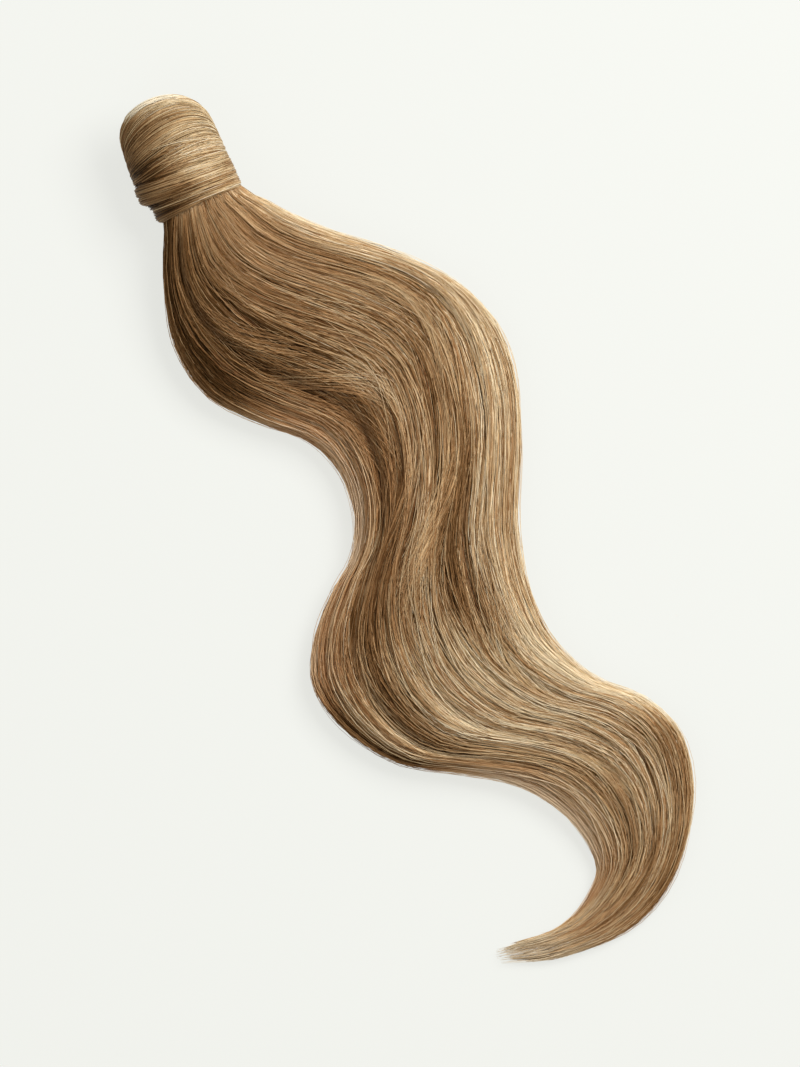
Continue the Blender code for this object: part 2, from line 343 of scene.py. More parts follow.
def show(name: str, mesh: bpy.types.Mesh, slot: str, *nodes: str) -> bpy.types.Object:
    """Put a mesh in the scene as a piece of the hairpiece.

    Args:
        name: The piece's name.
        mesh: Its mesh, already in its place.
        slot: The record's material slot; not used.
        nodes: The CAD nodes that it stands for.

    Returns:
        The new piece.
    """
    piece = bpy.data.objects.new(name, mesh)
    bpy.context.scene.collection.objects.link(piece)
    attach(piece, BODY)
    if nodes:
        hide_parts(*nodes)
    LOG.info("%s: %d triangles", name, sum(len(face.vertices) - 2 for face in mesh.polygons))
    return piece


def drawn_tube(name: str, rings: Array, tones: Array, closed: bool) -> bpy.types.Mesh:
    """Extrude a closed loop through a row of rings, with a map that runs along the rings.

    Args:
        name: The mesh's name.
        rings: Points as ring, place round the ring and coordinate, in millimetres from the seam.
        tones: A tone for each point.
        closed: True to join the last ring to the first, False to close each end.

    Returns:
        The mesh, its faces pointing out.
    """
    count, around = rings.shape[:2]
    where = placed(rings)
    bm = bmesh.new()
    turn = bm.verts.layers.int.new("turn")
    step = bm.verts.layers.int.new("step")
    for number, vert in enumerate(bmesh.ops.create_circle(bm, segments=around, radius=1.0)["verts"]):
        vert[turn] = number
        vert.co = where[0, number]
    edges = first = bm.edges[:]
    for number in range(1, count):
        made = bmesh.ops.extrude_edge_only(bm, edges=edges)["geom"]
        for vert in (item for item in made if isinstance(item, bmesh.types.BMVert)):
            vert[step] = number
            vert.co = where[number, vert[turn]]
        edges = [item for item in made if isinstance(item, bmesh.types.BMEdge)]
    if closed:
        bmesh.ops.bridge_loops(bm, edges=first + edges)
    else:
        for rim in (first, edges):
            caps = bmesh.ops.contextual_create(bm, geom=rim)["faces"]
            bmesh.ops.poke(bm, faces=caps)
    bmesh.ops.recalc_face_normals(bm, faces=bm.faces[:])
    chart = bm.loops.layers.uv.new("OFBake")
    shade = bm.verts.layers.float.new("tone")
    bm.verts.layers.float.new("copper")
    last = count if closed else count - 1
    for vert in bm.verts:
        vert[shade] = tones[vert[step], vert[turn]]
    for face in bm.faces:
        turns = [corner.vert[turn] for corner in face.loops]
        steps = [corner.vert[step] for corner in face.loops]
        over_turn = max(turns) - min(turns) > around / 2
        over_step = closed and max(steps) - min(steps) > count / 2
        for corner, at_turn, at_step in zip(face.loops, turns, steps):
            v = (at_turn + around * (over_turn and at_turn < around / 2)) / around
            u = (at_step + count * (over_step and at_step < count / 2)) / last
            corner[chart].uv = (u, v)
    mesh = bpy.data.meshes.new(name)
    bm.to_mesh(mesh)
    bm.free()
    mesh.shade_smooth()
    return mesh


@dataclass(frozen=True)
class Patch:
    """A lighter or darker stretch of the tail: its lane, spread across, two ends, tone and drift."""

    lane: float
    spread: float
    start: float
    end: float
    tone: float
    drift: float = 0.0


# The sections across the tail, from the winding to the tip: x, y, across, width, base, waist, crown and the
# two sways, as in the solid: millimetres from the seam point, degrees, and shares of half the width.
SECTIONS = (
    (-1.7, -3.7, 0, 34.8, 4.2, 20.0, 35.8, 0.05, -0.05),
    (0.6, -11.4, 1, 49, 3.0, 18.0, 35.5, -0.10, -0.05),
    (0.9, -27.8, 8, 68, 1.0, 14.0, 33.5, -0.15, 0.05),
    (4.5, -46.8, 13, 88, 0, 11.5, 32.0, 0.00, 0.20),
    (14.2, -66.6, 18, 102, 0, 10.0, 30.5, 0.12, 0.35),
    (29.9, -85.0, 20, 104, 0, 9.5, 29.5, 0.15, 0.40),
    (45.5, -102.5, 22, 99, 0, 9.0, 29.0, 0.12, 0.30),
    (52.6, -123.1, 21, 99, 0, 9.0, 28.5, 0.02, 0.10),
    (50.6, -145.9, 18, 98, 0, 9.0, 28.0, -0.08, -0.02),
    (41.1, -167.6, 11, 94, 0, 8.5, 27.5, -0.10, -0.08),
    (27.3, -186.0, 1, 93, 0, 8.5, 27.0, -0.06, -0.05),
    (16.2, -203.2, -1, 102, 0, 8.5, 26.5, -0.02, 0.05),
    (10.0, -222.1, -1, 107, 0, 8.0, 26.0, 0.00, 0.12),
    (12.3, -245.1, -1, 103, 0, 8.0, 25.0, -0.08, 0.18),
    (25.3, -268.9, -1, 98, 0, 7.5, 24.0, -0.18, 0.32),
    (45.7, -285.6, -2, 91, 0, 7.0, 22.5, -0.05, 0.34),
    (61.1, -304.3, -6, 77, 0, 6.5, 20.5, 0.20, 0.22),
    (66.1, -327.2, -9, 59, 0, 6.0, 18.0, 0.28, 0.12),
    (61.8, -349.1, -9, 43, 0, 5.0, 15.0, 0.20, 0.10),
    (48.3, -363.8, -22, 35, 0, 4.0, 12.0, 0.05, 0.05),
    (29.8, -372.3, -31, 29, 0, 3.2, 9.5, -0.10, -0.10),
    (7.3, -372.4, -50, 19.5, 0, 2.4, 7.0, -0.15, -0.15),
    (-13.6, -367.3, -97, 7.5, 0, 1.4, 4.0, 0.00, 0.00),
)

# The furrows between the locks: lane, depth and the sections between which it is that deep.
FURROWS = (
    (-0.86, 1.4, 4, 16),
    (-0.62, 4.2, 1, 15),
    (-0.40, 1.8, 5, 12),
    (-0.18, 1.8, 12, 19),
    (0.05, 1.6, 14, 20),
    (0.25, 1.5, 16, 21),
    (0.45, 3.0, 9, 15),
    (0.60, 2.6, 5, 9),
    (0.80, 1.6, 3, 13),
)

# Where the tail is drawn darker or lighter than its middle brown, and how far each stretch drifts across a
# section. Some stretches are the hair's own darker and paler locks; others are painted shade, on the left
# near the winding and in the valleys between locks, and painted light along the right edge, on the curves and
# on the left edges that face away from the lamp.
PAINTED_LIGHT_AND_TONE = tuple(Patch(*row) for row in (
    (-0.88, 0.20, -2.0, 4.6, -0.30),
    (-0.60, 0.14, 0.6, 4.6, -0.16),
    (-0.38, 0.12, 0.8, 5.0, -0.18),
    (-0.60, 0.15, 4.6, 8.8, -0.20),
    (-0.40, 0.08, 6.2, 13.4, -0.16),
    (-0.50, 0.10, 8.8, 14.4, -0.24, -0.015),
    (-0.98, 0.10, 12.2, 14.7, -0.38),
    (-0.94, 0.12, 4.8, 12.2, 0.16),
    (-0.74, 0.09, 7.0, 10.8, 0.08),
    (-0.70, 0.08, 11.6, 15.0, 0.16, -0.03),
    (-0.32, 0.08, 5.2, 7.8, 0.10, 0.03),
    (-0.24, 0.08, 8.6, 10.4, -0.06),
    (0.06, 0.10, 6.4, 8.8, -0.13),
    (0.24, 0.16, 8.8, 12.0, -0.16, 0.03),
    (0.40, 0.08, 7.6, 13.4, -0.16, 0.02),
    (0.62, 0.07, 1.2, 3.6, -0.12),
    (0.57, 0.06, 4.0, 6.0, -0.10),
    (0.92, 0.28, 0.6, 15.6, 0.15),
    (0.98, 0.14, 0.4, 4.0, 0.10),
    (0.96, 0.10, 8.0, 10.4, -0.06),
    (1.00, 0.05, 7.2, 14.0, -0.14),
    (0.70, 0.16, 5.4, 8.6, 0.08),
    (0.50, 0.05, 5.8, 8.0, 0.12),
    (0.56, 0.10, 9.0, 11.4, 0.12),
    (-0.22, 0.26, 11.8, 15.0, 0.15),
    (0.20, 0.14, 12.0, 15.2, 0.20),
    (0.62, 0.28, 12.6, 15.4, 0.15),
    (-0.92, 0.20, 14.9, 17.8, 0.34),
    (-0.76, 0.06, 14.2, 15.8, -0.12),
    (-0.97, 0.08, 9.4, 11.4, -0.10),
    (-0.60, 0.08, 15.6, 18.4, 0.08),
    (-0.42, 0.07, 14.2, 16.8, -0.06, -0.02),
    (-0.30, 0.08, 13.4, 16.6, 0.20),
    (-0.66, 0.05, 13.0, 15.4, 0.14),
    (0.78, 0.08, 5.6, 8.8, 0.10),
    (0.84, 0.10, 12.4, 15.0, 0.12),
    (-0.68, 0.06, 11.2, 13.4, -0.18),
    (-0.44, 0.07, 5.2, 7.6, 0.12),
    (-0.12, 0.06, 14.2, 17.8, 0.14, -0.05),
    (0.03, 0.04, 14.8, 17.4, -0.10, -0.08),
    (-0.34, 0.06, 16.4, 18.2, -0.14),
    (0.64, 0.14, 15.4, 17.2, -0.12),
    (0.26, 0.08, 15.8, 18.2, 0.10),
    (0.14, 0.12, 17.6, 20.6, -0.24),
    (0.62, 0.10, 17.4, 20.0, -0.20),
    (0.86, 0.16, 18.0, 20.2, -0.16),
    (0.06, 0.12, 0.4, 3.6, -0.10),
    (0.40, 0.10, 1.2, 4.2, -0.10),
    (0.00, 1.20, 20.4, 24.0, 0.22),
    (-0.70, 0.30, 19.0, 23.0, 0.16),
    (-0.95, 0.12, 15.2, 18.6, 0.20),
    (-0.84, 0.08, 12.0, 14.2, 0.14),
    (-0.65, 0.06, 15.4, 17.4, 0.10),
    (-0.14, 0.04, 12.6, 14.4, 0.08),
    (0.60, 0.06, 4.4, 6.2, 0.08),
    (0.46, 0.05, 9.8, 12.2, 0.07),
    (0.06, 0.05, 15.8, 20.6, 0.06),
    (0.76, 0.08, 0.2, 2.2, -0.16),
    (0.72, 0.05, 4.4, 6.6, -0.12),
    (0.80, 0.05, 2.8, 4.6, -0.08),
    (-0.55, 0.05, 1.4, 3.2, -0.08),
    (-0.07, 0.05, 3.8, 6.6, -0.08),
    (0.22, 0.05, 5.8, 7.6, -0.08),
    (-0.18, 0.06, 5.4, 9.0, 0.12),
    (-0.35, 0.05, 8.4, 10.2, 0.10),
    (0.05, 0.05, 9.0, 18.2, 0.10),
    (0.46, 0.06, 12.4, 15.2, 0.08),
    (0.34, 0.06, 2.8, 5.2, 0.10),
    (-0.90, 0.08, 6.0, 9.4, 0.20),
    (-0.66, 0.06, 12.6, 14.6, 0.10),
    (0.36, 0.05, 16.4, 18.2, 0.10),
    (0.10, 0.04, 18.4, 20.6, 0.10),
    (0.16, 0.03, 15.8, 18.2, -0.10),
    (1.00, 0.05, 18.2, 20.8, -0.20),
    (0.46, 0.06, 12.4, 14.6, 0.12),
    (0.36, 0.04, 12.4, 14.6, -0.10),
    (0.60, 0.06, 3.8, 6.6, 0.10),
    (0.21, 0.05, 4.0, 5.6, 0.08),
    (-0.18, 0.05, 12.4, 16.0, 0.10),
    (-0.40, 0.05, 8.4, 12.4, 0.10),
    (-0.50, 0.05, 5.2, 8.2, -0.12),
    (-0.33, 0.05, 6.6, 10.6, -0.10),
    (-0.12, 0.10, 1.8, 4.2, -0.10),
    (-0.34, 0.08, 0.4, 3.0, -0.07),
    (-0.68, 0.07, 13.6, 15.6, -0.12),
    (0.62, 0.08, 14.6, 16.4, -0.10),
    (0.86, 0.14, 15.6, 19.6, -0.10),
    (0.06, 0.05, 15.4, 17.6, 0.10),
    (0.23, 0.05, 17.6, 19.8, -0.10),
))

# Where the tail is redder, in the same columns as above.
WARM = tuple(Patch(*row) for row in (
    (-0.98, 0.26, 5.0, 12.4, 0.36),
    (-0.98, 0.28, 14.6, 19.6, 0.34),
    (0.00, 1.20, 19.6, 24.0, 0.14),
    (-0.35, 0.30, 6.0, 11.0, 0.08),
    (0.30, 0.40, 0.2, 4.0, 0.08),
))

# Where the thin loose strands are combed aside: lane, its spread, the section in the middle, its spread and
# the turn for each section, in radians.
COMBED = (
    (0.15, 0.35, 9.3, 1.3, -0.11),
    (-0.05, 0.30, 15.6, 1.6, -0.09),
    (0.50, 0.25, 12.2, 1.4, 0.06),
    (-0.35, 0.20, 4.6, 1.4, 0.07),
    (0.60, 0.25, 5.6, 1.6, -0.06),
)


@dataclass(frozen=True)
class Crossing:
    """A small lock that crosses others: its lanes at both ends, its sections, spread, strands and tone."""

    lane: float
    to_lane: float
    start: float
    end: float
    spread: float
    count: int
    tone: float = 0.05


CROSSINGS = tuple(Crossing(*row) for row in (
    (0.34, -0.08, 8.0, 10.8, 0.09, 70, 0.06),
    (0.22, -0.16, 9.0, 11.4, 0.06, 45, 0.08),
    (-0.66, -0.30, 4.4, 7.0, 0.05, 40, 0.10),
    (-0.72, -0.44, 5.8, 8.4, 0.06, 45, 0.12),
    (-0.20, -0.52, 7.4, 9.6, 0.04, 24, 0.08),
    (0.46, 0.24, 4.2, 7.2, 0.05, 36, 0.06),
    (-0.30, -0.10, 15.0, 17.6, 0.04, 36, 0.08),
    (0.30, 0.06, 17.0, 19.8, 0.05, 36, 0.06),
    (-0.30, 0.10, 18.4, 20.8, 0.07, 30, 0.02),
    (-0.62, -0.36, 2.4, 5.0, 0.05, 36, 0.08),
    (0.66, 0.42, 11.6, 14.2, 0.05, 36, 0.04),
    (-0.50, -0.56, -0.9, 3.2, 0.20, 70, 0.06),
    (0.05, 0.10, -0.9, 3.4, 0.28, 110, 0.06),
    (0.55, 0.50, -0.9, 3.0, 0.18, 60, 0.02),
))


class Surface:
    """A surface that strands lie on, over a way along it and an angle round it.

    Its slope is measured between places that are one reach away on both sides.
    """

    reach: ClassVar[float] = 0.02

    def point(self, along: Array, angle: Array) -> Array:
        """Find places on the surface, which each surface does in its own way."""
        raise NotImplementedError

    def frame(self, along: Array, angle: Array, lift: Array) -> tuple[Array, Array]:
        """Find places over the surface.

        Args:
            along: The way along the surface.
            angle: The angle round it.
            lift: Height over it in millimetres.

        Returns:
            Points, and the way out of the surface at each.
        """
        lengthways = self.point(along + self.reach, angle) - self.point(along - self.reach, angle)
        round_it = self.point(along, angle + self.reach) - self.point(along, angle - self.reach)
        out = unit(np.cross(lengthways, round_it))
        return self.point(along, angle) + out * lift[..., None], out


@dataclass
class TailForm(Surface):
    """The outer form of the loose tail, as a surface over travel along it and angle round it."""

    flat_share: float = 0.62
    roundness: float = 2.3
    shallow: float = 0.8
    furrow_width: float = 0.06
    furrow_fade: float = 1.5
    patch_fade: float = 1.2
    full_swell: float = 12.0
    middle_tone: float = 0.525
    # How much lighter the right side and darker the left side is drawn: painted light and painted shade.
    painted_side_light: float = 0.04
    head: Oval = (-0.2, 19.6, 15.8)
    head_blend: float = 0.9
    head_pitch: float = 9.0
    head_taper: float = 0.35
    sections: Array = field(default_factory=lambda: np.array(SECTIONS, float))

    @property
    def length(self) -> float:
        """The travel at the tip."""
        return len(self.sections) - 1.0

    def at(self, travel: Array) -> Array:
        """Read a section anywhere along the tail.

        Args:
            travel: Travel along the tail, 0 at the winding.

        Returns:
            The section's nine values, for each travel.
        """
        rows = self.sections
        padded = np.vstack([2 * rows[0] - rows[1], rows, 2 * rows[-1] - rows[-2]])
        held = np.clip(travel, 0.0, self.length)
        index = np.minimum(held.astype(int), len(rows) - 2)
        share = (held - index)[..., None]
        low, before, after, high = (padded[index + step] for step in range(4))
        bend = 2 * low - 5 * before + 4 * after - high
        twist = 3 * (before - after) + high - low
        return 0.5 * (2 * before + share * (after - low + share * (bend + share * twist)))

    def furrows(self, lane: Array, travel: Array) -> Array:
        """How deep the furrows between the locks are at each lane and travel."""
        depth = np.zeros_like(lane)
        for place, deep, start, end in FURROWS:
            begun = smooth(0.5 + (travel - start) / self.furrow_fade)
            reach = begun * smooth(0.5 + (end - travel) / self.furrow_fade)
            full = self.shallow + (deep - self.shallow) * reach
            depth = np.maximum(depth, full * np.exp(-((lane - place) / self.furrow_width) ** 2))
        return depth

    def point(self, travel: Array, angle: Array) -> Array:
        """Find the place of the surface.

        Args:
            travel: Travel along the tail. Past its ends the tail runs straight on.
            angle: 0 at the left edge, a quarter turn over the top, half a turn at the right edge.

        Returns:
            Points in millimetres from the seam point.
        """
        x, y, across, width, base, waist, crown, left, right = np.moveaxis(self.at(travel), -1, 0)
        heading = np.radians(across)
        lane = -np.cos(angle)
        top = np.sin(angle) >= 0
        sway = (left * (1 - lane) + right * (1 + lane)) / 2
        aside = np.where(top, lane + (1 - lane * lane) * sway, lane)
        rise = np.sqrt(np.clip(1 - np.abs(aside) ** self.roundness, 0, 1))
        swell = crown - waist
        cut = self.furrows(lane, travel) * np.minimum(1, swell / self.full_swell) * np.minimum(1, 2 * rise)
        lift = np.clip((np.abs(lane) - self.flat_share) / (1 - self.flat_share), 0, 1) ** 2
        under = np.maximum(base, 0) + (waist - np.maximum(base, 0)) * lift
        height = np.where(top, waist + swell * rise - cut, under)
        half = width / 2
        loose = np.stack([x + aside * half * np.cos(heading), y + aside * half * np.sin(heading), height], -1)
        middle, wide, tall = self.head
        wide = wide * (1 + self.head_taper * np.minimum(travel, 0.0))
        round_head = np.stack([
            middle + wide * lane,
            np.broadcast_to(self.sections[0][1], lane.shape),
            WINDING_HEIGHT + tall * np.sin(angle),
        ], -1)
        share = smooth(travel / self.head_blend)[..., None]
        found = round_head * (1 - share) + loose * share
        found[..., 1] += np.where(travel < 0, -travel * self.head_pitch, 0)
        past = np.clip(travel - self.length, 0, None)[..., None]
        end = self.sections[-1] - self.sections[-2]
        return found + past * np.array([end[0], end[1], 0.0])

    def patched(self, patches: tuple[Patch, ...], travel: Array, angle: Array) -> Array:
        """Add up the patches of a table at each place."""
        lane = -np.cos(angle)
        total = np.zeros_like(lane + travel)
        for patch in patches:
            begun = smooth((travel - patch.start) / self.patch_fade + 0.5)
            reach = begun * smooth((patch.end - travel) / self.patch_fade + 0.5)
            middle = patch.lane + patch.drift * (travel - (patch.start + patch.end) / 2)
            total = total + patch.tone * reach * np.exp(-((lane - middle) / patch.spread) ** 2)
        return total

    def tone(self, travel: Array, angle: Array) -> Array:
        """How light the hair is drawn at each place, about 0.5 on its middle brown: the hair's own darker and
        paler stretches, with painted light on the right side, on the curves and along the edges, and painted
        shade on the left and in the valleys.
        """
        return self.middle_tone - self.painted_side_light * np.cos(angle) + self.patched(PAINTED_LIGHT_AND_TONE, travel, angle)


@dataclass
class Wander:
    """A slow random swing along the tail: two waves of random length and phase."""

    size: float
    shortest: float
    longest: float

    def draw(self, dice: np.random.Generator, travel: Array) -> Array:
        """Draw one swing.

        Args:
            dice: The source of random numbers.
            travel: Travel along the tail.

        Returns:
            The swing at each travel.
        """
        total = np.zeros_like(travel)
        for share in (0.65, 0.35):
            length = dice.uniform(self.shortest, self.longest)
            total += share * np.sin(2 * math.pi * (travel / length + dice.uniform()))
        return self.size * total


def stretch(start: float, end: float, step: float = 0.45, fewest: int = 5) -> Array:
    """Divide a strand's stretch of the tail into about equal steps.

    Args:
        start: The travel at its start.
        end: The travel at its end.
        step: How long a step is.
        fewest: How many steps it has at least.

    Returns:
        The travel at each step's ends.
    """
    return np.linspace(start, end, max(fewest, round((end - start) / step)) + 1)


@dataclass(frozen=True)
class Kind:
    """One kind of thin strand on the tail: its number, and ranges of its radius, start, length and lift."""

    count: int
    radius: Pair
    start: Pair
    length: Pair
    lift: Pair
    tone: float
    tone_spread: float = 0.0
    steps: int = 14

    def begin(self, dice: np.random.Generator, last: float) -> Array:
        """Draw a strand's stretch of the tail in a fixed number of steps, which ends by the last travel."""
        start = dice.uniform(*self.start)
        return np.linspace(start, min(start + dice.uniform(*self.length), last), self.steps + 1)


@dataclass
class Tail:
    """The loose tail: a body in the locks' form under thousands of strands in locks and clumps.

    Lengths across and over the surface are in millimetres, and along it in sections. A share is the part of
    the strands that begin at the head, end at the tip, or are redder than the others.
    """

    form: TailForm
    finish: bpy.types.Material
    body_finish: bpy.types.Material
    seed: int = 11
    locks: int = 44
    clumps: int = 8
    hairs: int = 10
    pieces: int = 6
    overhang: float = 0.30
    step: float = 0.61
    radius: Pair = (0.11, 0.21)
    fine_radius: Pair = (0.09, 0.16)
    lock_tone: float = 0.06
    hair_tone: float = 0.165
    stray_tone: float = 0.26
    pale_share: float = 0.08
    dark_share: float = 0.13
    palest: float = 0.97
    head_share: float = 0.34
    head_start: float = -0.45
    later_start: Pair = (0.2, 8.5)
    tip_share: float = 0.38
    ragged: float = 2.6
    early_end: Pair = (12.5, 20.3)
    shortest: float = 5.0
    sunk: float = 3.0
    sunk_for: float = 1.3
    clump_width: float = 0.24
    clump_depth: float = 0.26
    rest_depth: float = 1.3
    copper_share: float = 0.08
    copper: Pair = (0.15, 0.5)
    under_locks: int = 26
    under_hairs: int = 11
    under_radius: float = 0.38
    under_sunk: float = 2.5
    under_lift: Pair = (-0.9, 0.1)
    under_tone: Pair = (-0.08, 0.08)
    under_spread: float = 0.06
    crossing_lift: Pair = (-0.25, 0.3)
    crossing_dive: float = 2.6
    crossing_spread: float = 0.35
    crossing_tone: float = 0.1
    inset: float = 2.4
    body_short: float = 2.4
    painted_body_shade: float = 0.14
    around: int = 128
    rings_per_section: int = 5
    edge_inset: float = 0.6
    edge_lane: float = 0.8
    plug_rings: tuple[tuple[float, ...], ...] = (
        (9.0, -3.2, 14.0, 12.6, 0.0),
        (2.65, -3.2, 14.0, 12.6, -0.12),
        (2.3, -1.7, 17.4, 15.8, -0.12),
    )
    loose_hairs: Kind = Kind(1500, (0.1, 0.16), (-0.3, 20), (2, 5.5), (-0.5, 0.35), 0.04, 0.13)
    fringe_hairs: Kind = Kind(220, (0.08, 0.13), (0.2, 19), (2, 5), (-0.9, 0), 0.0, 0.1)
    # The edge hairs are paler by their tone: painted light shining through the thin hairs at the outline.
    edge_hairs: Kind = Kind(150, (0.09, 0.15), (0.3, 17.5), (2.5, 6), (0.3, 2.4), 0.25)
    top_hairs: Kind = Kind(70, (0.10, 0.15), (0.8, 18), (2.5, 5.5), (0.1, 0.8), 0.26)
    wisps: Kind = Kind(320, (0.09, 0.16), (17, 20.3), (-1.5, 0.2), (-1.6, -0.3), 0.06, 0.08, 13)

    def body(self) -> None:
        """Build the body that shows between the strands, from the plug in the hollow to the tip, drawn darker
        with painted shade.
        """
        steps = int(self.form.length * self.rings_per_section)
        travel, angle = np.meshgrid(
            np.linspace(0, self.form.length - self.body_short, steps),
            -2 * math.pi * np.arange(self.around) / self.around,
            indexing="ij",
        )
        rings, _ = self.form.frame(travel, angle, np.full(travel.shape, -self.inset))
        plug = []
        for y, x, wide, tall, twist in self.plug_rings:
            aside = -wide * np.cos(angle[0])
            up = tall * np.sin(angle[0])
            plug.append(np.stack([x + aside, y + twist * aside, WINDING_HEIGHT + up], -1))
        # The body is drawn darker than the hair over it: painted shade between the strands.
        tones = self.form.tone(travel, angle) - self.painted_body_shade
        tones = np.vstack([np.repeat(tones[:1], len(plug), 0), tones])
        mesh = drawn_tube("tail_body", np.concatenate([np.array(plug), rings]), tones, closed=False)
        mesh.materials.append(self.body_finish)
        show("tail_body", mesh, "tail_hair_fibre", "tail_hair")

    def strand(self, dice: np.random.Generator, travel: Array, angle: Array, lift: Array, radius: float,
               tone: float | Array, copper: float = 0.0) -> Strand:
        """Lay one strand on the tail.

        Args:
            dice: The source of random numbers.
            travel: Travel at each step.
            angle: Angle round the tail at each step.
            lift: Height over the surface at each step.
            radius: The thread's radius in millimetres.
            tone: How much lighter than its place the strand is.
            copper: How red it is.

        Returns:
            The strand.
        """
        at_edge = smooth((np.abs(np.cos(angle)) - self.edge_lane) / (1 - self.edge_lane))
        path, out = self.form.frame(travel, angle, lift - self.edge_inset * at_edge * smooth(travel))
        path[:, 2] = np.maximum(path[:, 2], radius + CLEARANCE)
        share = np.linspace(0, 1, len(travel))
        taper = 0.25 + 0.75 * np.minimum(1, np.minimum(share * 8, (1 - share) * 6))
        shade = self.form.tone(travel, angle) + tone + Wander(0.05, 2, 7).draw(dice, travel)
        warm = copper + self.form.patched(WARM, travel, angle)
        return Strand(path, out, radius * taper, np.minimum(shade, self.palest), warm)

    def join(self, name: str, strands: list[Strand]) -> None:
        """Join strands into a piece of the tail."""
        StrandMesh(name, "tail_hair_fibre", strands).build(self.finish)

    def strands(self) -> None:
        """Grow the locks over the top and both sides and join them into a few pieces."""
        dice = np.random.default_rng(self.seed)
        width = (math.pi + 2 * self.overhang) / self.locks
        whole = np.linspace(-1.0, self.form.length + 1.0, 97)
        grown: list[list[Strand]] = [[] for _ in range(self.pieces)]
        for lock in range(self.locks):
            middle = -self.overhang + width * (lock + 0.5)
            lock_tone = dice.normal(0, self.lock_tone)
            lock_swing = Wander(0.5 * width, 6, 14).draw(dice, whole)
            lock_lift = Wander(0.6, 5, 11).draw(dice, whole)
            for _ in range(self.clumps):
                offset = dice.uniform(-0.75, 0.75) * width
                tone = lock_tone + dice.normal(0, self.lock_tone)
                swing = lock_swing + Wander(0.30 * width, 4, 9).draw(dice, whole)
                lift = lock_lift + dice.uniform(-0.7, 0.5) + Wander(0.35, 3, 8).draw(dice, whole)
                for _ in range(self.hairs):
                    angle = middle + offset + dice.normal(0, self.clump_width) * width + swing
                    grown[lock * self.pieces // self.locks].append(self.hair(dice, whole, angle, lift, tone))
        for number, strands in enumerate(grown):
            self.join(f"tail_strands_{number + 1}", strands)

    def hair(self, dice: np.random.Generator, whole: Array, angle: Array, lift: Array, tone: float) -> Strand:
        """Grow one strand of a clump, over a random stretch of the tail.

        Args:
            dice: The source of random numbers.
            whole: Travels along the whole tail, at which angle and lift are given.
            angle: The clump's angle round the tail.
            lift: The clump's height over the surface.
            tone: The clump's tone.

        Returns:
            The strand.
        """
        from_head = dice.uniform() < self.head_share
        start = self.head_start if from_head else dice.uniform(*self.later_start)
        to_tip = dice.uniform() < self.tip_share
        end = self.form.length - self.ragged * dice.uniform() if to_tip else dice.uniform(*self.early_end)
        travel = stretch(start, max(end, start + self.shortest), self.step, 6)
        place = np.interp(travel, whole, angle) + Wander(0.024, 3, 8).draw(dice, travel)
        height = np.interp(travel, whole, lift) + dice.normal(0, self.clump_depth)
        height = height + Wander(0.2, 3, 7).draw(dice, travel)
        height = height * (0.35 + 0.65 * smooth(travel / 3)) - self.rest_depth * smooth((travel + 0.5) / 3)
        if not from_head:
            height -= self.sunk * (1 - smooth((travel - start) / self.sunk_for))
        kind = dice.uniform()
        extra = dice.normal(0, self.hair_tone)
        extra += self.stray_tone * (int(kind > 1 - self.pale_share) - int(kind < self.dark_share))
        copper = dice.uniform(*self.copper) if dice.uniform() < self.copper_share else 0.0
        radius = dice.uniform(*self.radius)
        shade = tone * smooth((travel + 1) / 4) + extra
        return self.strand(dice, travel, place, height, radius, shade, copper)

    def underside(self) -> None:
        """Lay flat coarser strands under the tail."""
        dice = np.random.default_rng(self.seed + 1)
        width = (math.pi - 2 * self.overhang) / self.under_locks
        strands = []
        for lock in range(self.under_locks):
            middle = math.pi + self.overhang + width * (lock + 0.5)
            for _ in range(self.under_hairs):
                start = dice.choice([-0.4, dice.uniform(0.5, 9)])
                end = dice.uniform(max(start + self.shortest, 13), self.form.length - 0.5)
                travel = stretch(start, end, 1.3 * self.step, 6)
                angle = middle + dice.normal(0, self.under_spread) + Wander(0.05, 5, 12).draw(dice, travel)
                lift = dice.uniform(*self.under_lift) + Wander(0.2, 3, 8).draw(dice, travel)
                lift -= self.under_sunk * (1 - smooth((travel - start) / self.sunk_for)) * (start > 0)
                tone = dice.normal(*self.under_tone)
                strands.append(self.strand(dice, travel, angle, lift, self.under_radius, tone))
        self.join("tail_under_strands", strands)

    def loose(self) -> None:
        """Lay thin short strands over the locks that cross them at small angles."""
        dice = np.random.default_rng(self.seed + 3)
        kind = self.loose_hairs
        strands = []
        for _ in range(kind.count):
            start = dice.uniform(*kind.start)
            end = min(start + dice.uniform(*kind.length), self.form.length - dice.uniform())
            travel = stretch(start, end)
            share = np.linspace(-0.5, 0.5, len(travel))
            middle = dice.uniform(-0.2, math.pi + 0.2)
            angle = middle + dice.normal(0, 0.09) * share + Wander(0.02, 2, 6).draw(dice, travel)
            for lane, wide, section, spread, turn in COMBED:
                near = math.exp(-((-math.cos(middle) - lane) / wide) ** 2)
                angle = angle + turn * near * spread * np.tanh((travel - section) / spread)
            lift = dice.uniform(*kind.lift) - 2.0 * (2 * np.abs(share)) ** 6
            tone = dice.normal(kind.tone, kind.tone_spread)
            strands.append(self.strand(dice, travel, angle, lift, dice.uniform(*kind.radius), tone))
        self.join("tail_loose_strands", strands)

